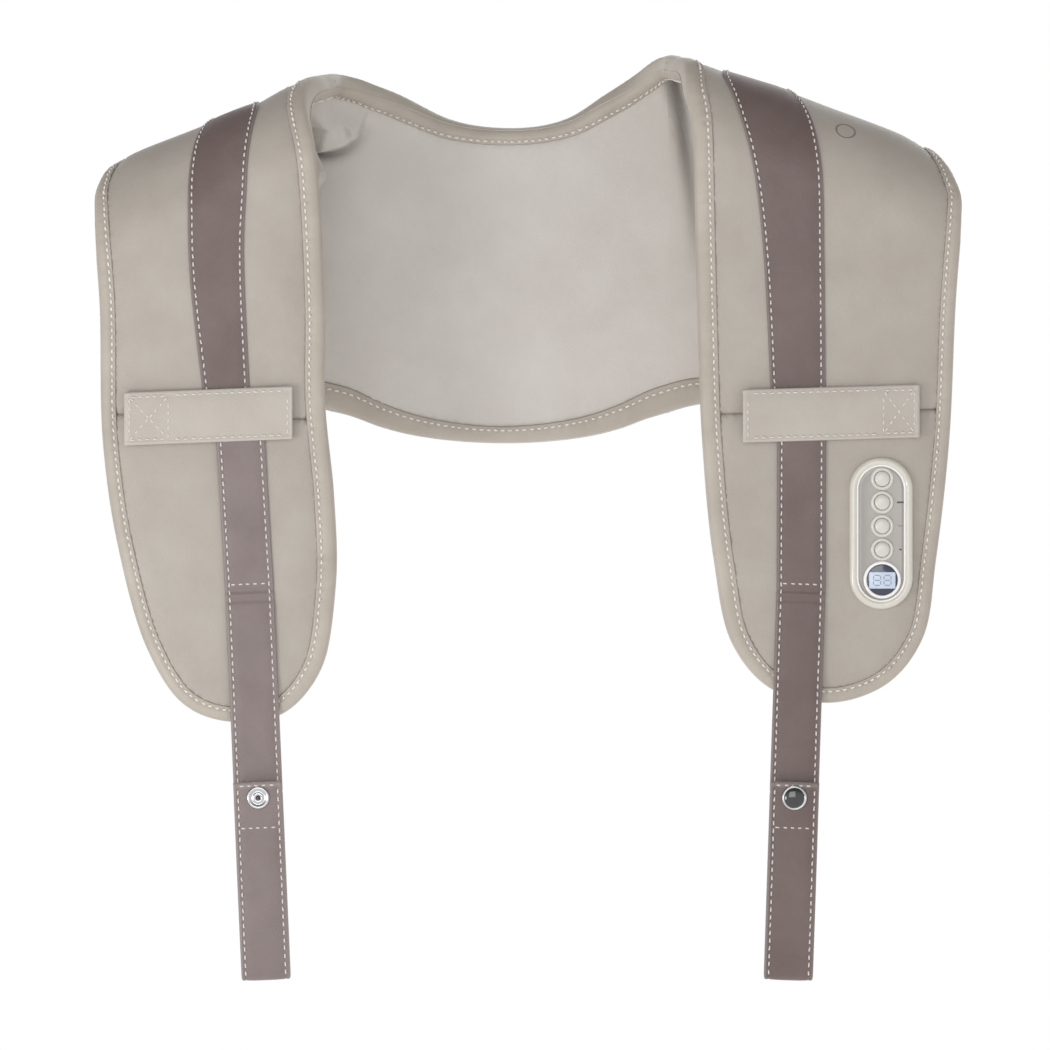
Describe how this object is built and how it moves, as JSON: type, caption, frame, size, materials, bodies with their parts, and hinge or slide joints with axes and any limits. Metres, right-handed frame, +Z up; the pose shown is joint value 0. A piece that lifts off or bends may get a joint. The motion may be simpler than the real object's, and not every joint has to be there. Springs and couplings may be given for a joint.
{
  "type": "shiatsu neck and shoulder massager",
  "caption": "Padded shawl that lies over both shoulders, with motor-driven kneading nodes, hand-loop straps and a key panel with a round display",
  "frame": {"origin": "middle of the neck opening, at the height where the nodes rest on the shoulders; metres", "axes": "+Z up, the wearer faces -Y, +X is the wearer's left"},
  "size_m": [0.522, 0.1663, 0.5596],
  "materials": {
    "shell_leather": "smooth synthetic leather, satin",
    "edge_tape": "folded synthetic leather tape, satin",
    "band_leather": "synthetic leather, satin, pale stitching",
    "lining": "smooth synthetic leather lining, satin",
    "node_cloth": "stretch mesh cloth",
    "foam": "soft open-cell foam",
    "case_plastic": "moulded, matt",
    "gear_plastic": "acetal, natural",
    "node_rubber": "soft moulded rubber",
    "steel": "turned steel",
    "motor_can": "plated can",
    "snap_chrome": "bright plating",
    "rim_plastic": "pearl silver, gloss",
    "face_plastic": "smoked, gloss",
    "key_rubber": "milky translucent silicone",
    "lens": "clear window, dark blue surround",
    "display": "liquid-crystal cell, pale blue",
    "board": "glass-epoxy board",
    "inlet_plastic": "moulded, black"
  },
  "bodies": {
    "shawl": {"left_shoulder_cover": "shell_leather", "left_chest_cover": "shell_leather", "left_foam": "foam", "left_lining": "lining", "left_shoulder_strip": "band_leather", "left_node_cover": "node_cloth", "left_module_tray": "case_plastic", "left_module_lid": "case_plastic", "left_motor": "motor_can", "left_chest_strap": "band_leather", "right_shoulder_cover": "shell_leather", "right_chest_cover": "shell_leather", "right_foam": "foam", "right_lining": "lining", "right_shoulder_strip": "band_leather", "right_node_cover": "node_cloth", "right_module_tray": "case_plastic", "right_module_lid": "case_plastic", "right_motor": "motor_can", "right_chest_strap": "band_leather", "back_cover": "shell_leather", "back_foam": "foam", "back_lining": "lining", "edge_binding": "edge_tape", "keeper_anchors": "shell_leather", "control_base": "case_plastic", "control_bezel": "rim_plastic", "control_face": "face_plastic", "display_lens": "lens", "display_module": "display", "control_board": "board", "power_inlet": "inlet_plastic", "case_screws": "steel", "axles": "steel"},
    "left_worm_shaft": {"left_worm": "steel"},
    "left_inner_head": {"left_inner_wheel": "gear_plastic", "left_inner_nodes": "node_rubber"},
    "left_outer_head": {"left_outer_wheel": "gear_plastic", "left_outer_nodes": "node_rubber"},
    "left_hand_strap": {"left_hanging_strap": "band_leather", "left_snap_stud": "snap_chrome", "left_loop_fold": "band_leather"},
    "left_hand_loop": {"left_loop_leaf": "band_leather", "left_snap_cap": "snap_chrome"},
    "left_keeper": {"left_keeper_flap": "shell_leather"},
    "right_worm_shaft": {"right_worm": "steel"},
    "right_inner_head": {"right_inner_wheel": "gear_plastic", "right_inner_nodes": "node_rubber"},
    "right_outer_head": {"right_outer_wheel": "gear_plastic", "right_outer_nodes": "node_rubber"},
    "right_hand_strap": {"right_hanging_strap": "band_leather", "right_snap_stud": "snap_chrome", "right_loop_fold": "band_leather"},
    "right_hand_loop": {"right_loop_leaf": "band_leather", "right_snap_cap": "snap_chrome"},
    "right_keeper": {"right_keeper_flap": "shell_leather"},
    "power_button": {"power_key": "key_rubber"},
    "mode_button": {"mode_key": "key_rubber"},
    "plus_button": {"plus_key": "key_rubber"},
    "minus_button": {"minus_key": "key_rubber"}
  },
  "joints": [
    {"name": "left_outer_head_spin", "type": "hinge", "parent": "shawl", "child": "left_outer_head", "pos_m": [0.20632, -0.011, 0.02555], "axis": [0.3584, 0, 0.9336], "continuous": true},
    {"name": "left_inner_head_spin", "type": "hinge", "parent": "shawl", "child": "left_inner_head", "pos_m": [0.15404, -0.011, 0.04562], "axis": [0.3584, 0, 0.9336], "continuous": true},
    {"name": "left_worm_spin", "type": "hinge", "parent": "shawl", "child": "left_worm_shaft", "pos_m": [0.18018, 0, 0.03558], "axis": [0, 1, 0], "continuous": true},
    {"name": "left_strap_swing", "type": "hinge", "parent": "shawl", "child": "left_hand_strap", "pos_m": [0.16496, -0.0782, -0.2232], "axis": [-0.9995, 0, 0.0332], "range_deg": [0, 100]},
    {"name": "left_loop_open", "type": "hinge", "parent": "left_hand_strap", "child": "left_hand_loop", "pos_m": [0.15731, -0.0819, -0.45387], "axis": [0.9995, 0, -0.0332], "range_deg": [0, 170], "deforming": ["left_loop_fold"]},
    {"name": "left_keeper_open", "type": "hinge", "parent": "shawl", "child": "left_keeper", "pos_m": [0.211, -0.0807, -0.119], "axis": [0, 0, 1], "range_deg": [0, 100]},
    {"name": "right_outer_head_spin", "type": "hinge", "parent": "shawl", "child": "right_outer_head", "pos_m": [-0.2108, 0.011, 0.01641], "axis": [-0.4226, 0, 0.9063], "continuous": true},
    {"name": "right_inner_head_spin", "type": "hinge", "parent": "shawl", "child": "right_inner_head", "pos_m": [-0.16004, 0.011, 0.04007], "axis": [-0.4226, 0, 0.9063], "continuous": true},
    {"name": "right_worm_spin", "type": "hinge", "parent": "shawl", "child": "right_worm_shaft", "pos_m": [-0.18542, 0, 0.02824], "axis": [0, -1, 0], "continuous": true},
    {"name": "right_strap_swing", "type": "hinge", "parent": "shawl", "child": "right_hand_strap", "pos_m": [-0.16595, -0.0782, -0.2232], "axis": [-0.999, 0, -0.0436], "range_deg": [0, 100]},
    {"name": "right_loop_open", "type": "hinge", "parent": "right_hand_strap", "child": "right_hand_loop", "pos_m": [-0.15588, -0.0819, -0.45378], "axis": [0.999, 0, 0.0436], "range_deg": [0, 170], "deforming": ["right_loop_fold"]},
    {"name": "right_keeper_open", "type": "hinge", "parent": "shawl", "child": "right_keeper", "pos_m": [-0.211, -0.0807, -0.119], "axis": [0, 0, -1], "range_deg": [0, 100]},
    {"name": "power_press", "type": "slide", "parent": "shawl", "child": "power_button", "axis": [0, 1, 0], "range_m": [0, 0.0008], "stiffness_N_per_m": 900},
    {"name": "mode_press", "type": "slide", "parent": "shawl", "child": "mode_button", "axis": [0, 1, 0], "range_m": [0, 0.0008], "stiffness_N_per_m": 900},
    {"name": "plus_press", "type": "slide", "parent": "shawl", "child": "plus_button", "axis": [0, 1, 0], "range_m": [0, 0.0008], "stiffness_N_per_m": 900},
    {"name": "minus_press", "type": "slide", "parent": "shawl", "child": "minus_button", "axis": [0, 1, 0], "range_m": [0, 0.0008], "stiffness_N_per_m": 900}
  ],
  "couplings": [
    {"joint": "left_inner_head_spin", "follows": "left_outer_head_spin", "ratio": -1},
    {"joint": "left_worm_spin", "follows": "left_outer_head_spin", "ratio": 36},
    {"joint": "right_inner_head_spin", "follows": "right_outer_head_spin", "ratio": -1},
    {"joint": "right_worm_spin", "follows": "right_outer_head_spin", "ratio": 36}
  ]
}
